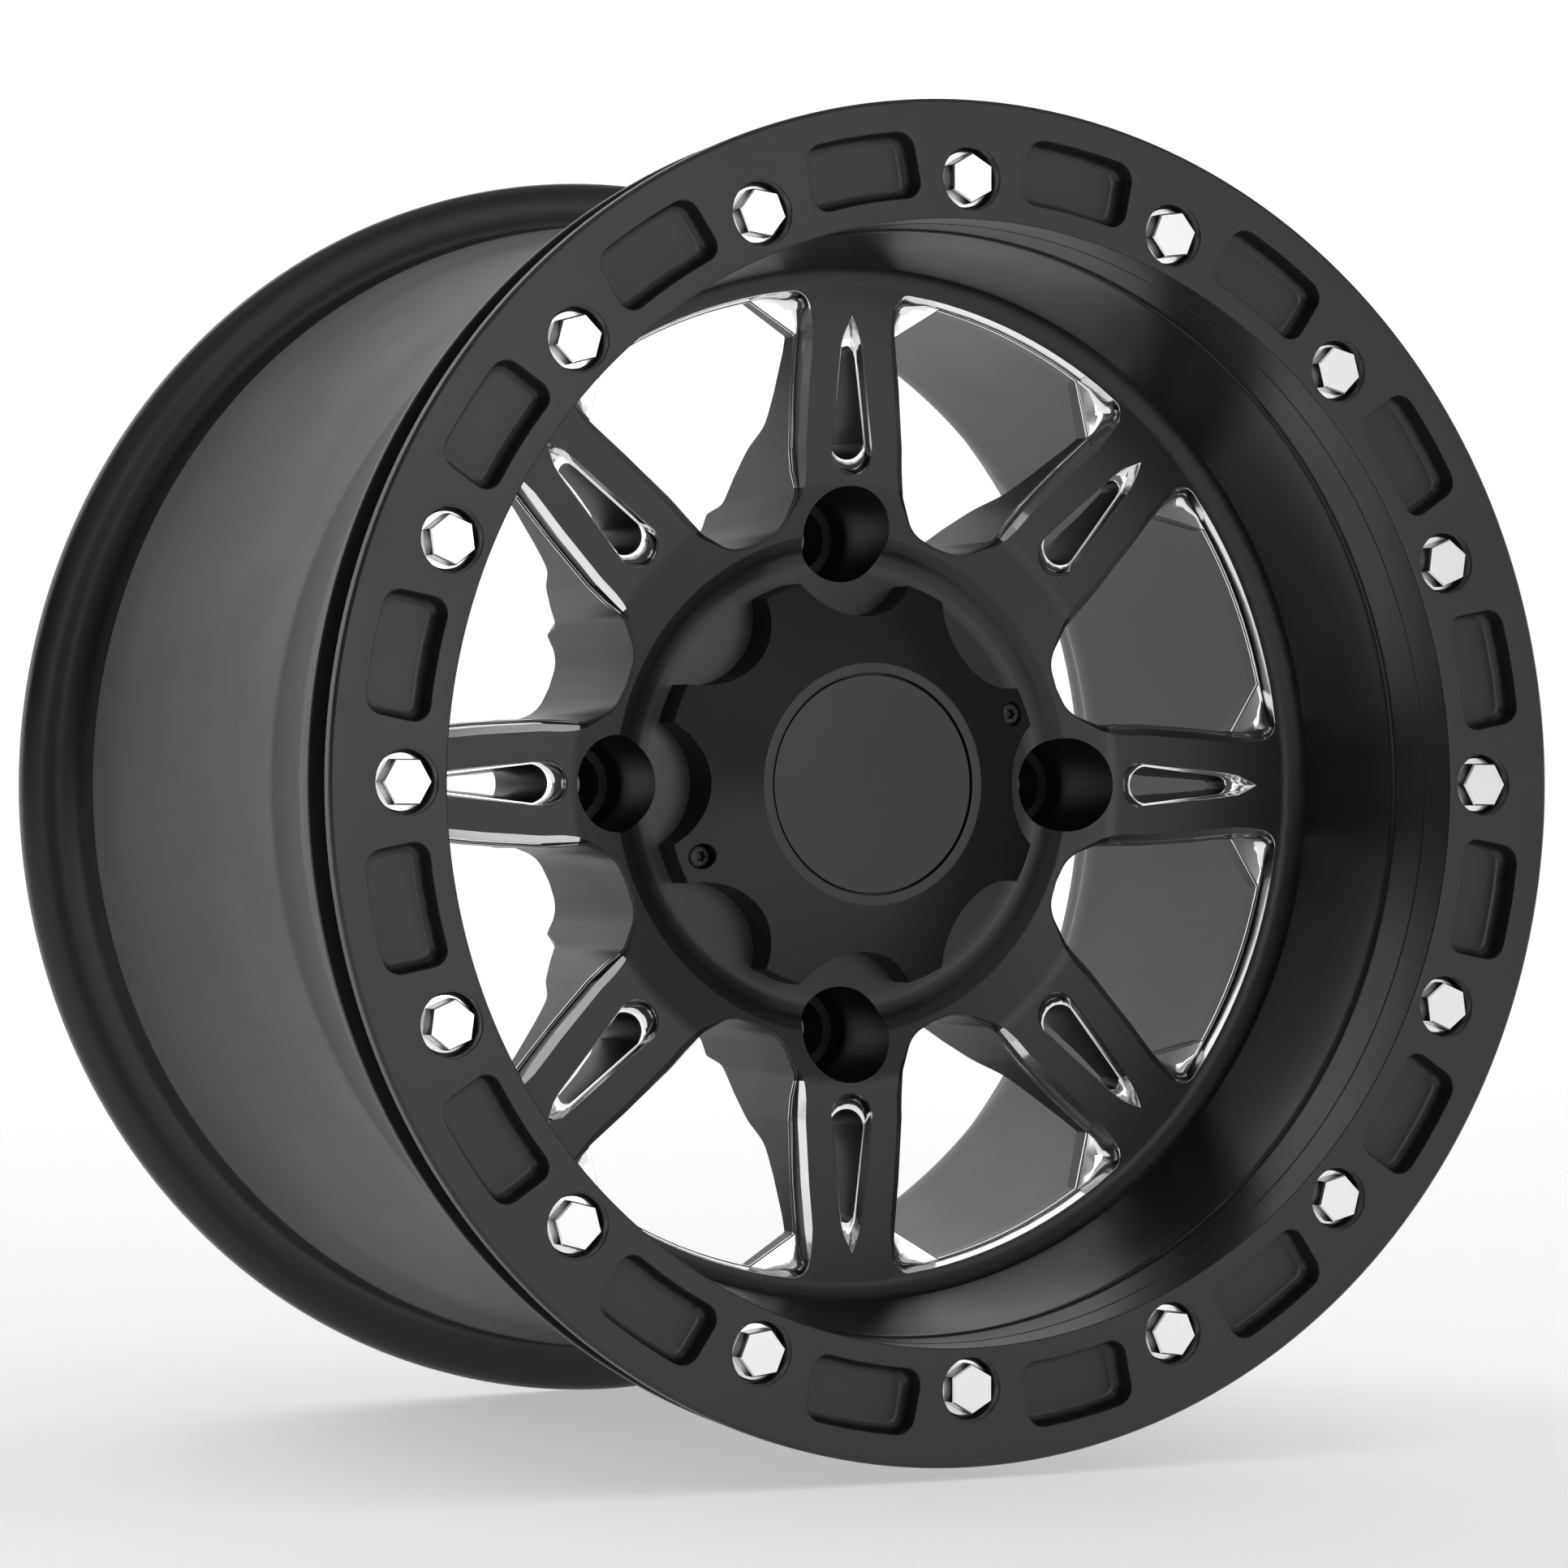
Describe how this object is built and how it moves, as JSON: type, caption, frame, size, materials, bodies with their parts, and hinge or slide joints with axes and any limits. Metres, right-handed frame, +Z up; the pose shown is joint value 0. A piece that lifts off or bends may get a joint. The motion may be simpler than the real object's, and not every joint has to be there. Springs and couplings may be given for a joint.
{
  "type": "beadlock wheel",
  "caption": "Deep-dish off-road wheel with milled slotted spokes, a bolted beadlock ring and a lobed centre cap.",
  "frame": {"origin": "centre of the face that bolts to the vehicle's hub, on the wheel's axis", "axes": "+Y along the wheel's axis, towards the vehicle, so the face looks along -Y; +Z up"},
  "size_m": [0.4139, 0.2818, 0.414],
  "materials": {
    "wheel_black": "satin black powder coat with milled bright edges",
    "ring_black": "satin black powder coat",
    "bolt_chrome": "bright plated steel",
    "insert_steel": "plain steel",
    "cap_black": "satin black",
    "disc_black": "fine satin black, bare",
    "seal_foam": "thin foam",
    "screw_black": "black oxide",
    "rubber_black": "matt rubber",
    "valve_metal": "plated brass",
    "core_brass": "plain brass",
    "valve_cap_plastic": "moulded"
  },
  "bodies": {
    "root": {"wheel": "wheel_black", "beadlock_ring": "ring_black", "beadlock_bolts": "bolt_chrome", "thread_inserts": "insert_steel", "centre_cap": "cap_black", "cap_medallion": "disc_black", "medallion_seal": "seal_foam", "cap_screws": "screw_black", "cap_o_ring": "rubber_black", "valve_stem": "valve_metal", "valve_grommet": "rubber_black", "valve_washer": "valve_metal", "valve_nut": "valve_metal", "valve_core": "core_brass", "valve_cap": "valve_cap_plastic"}
  },
  "joints": []
}
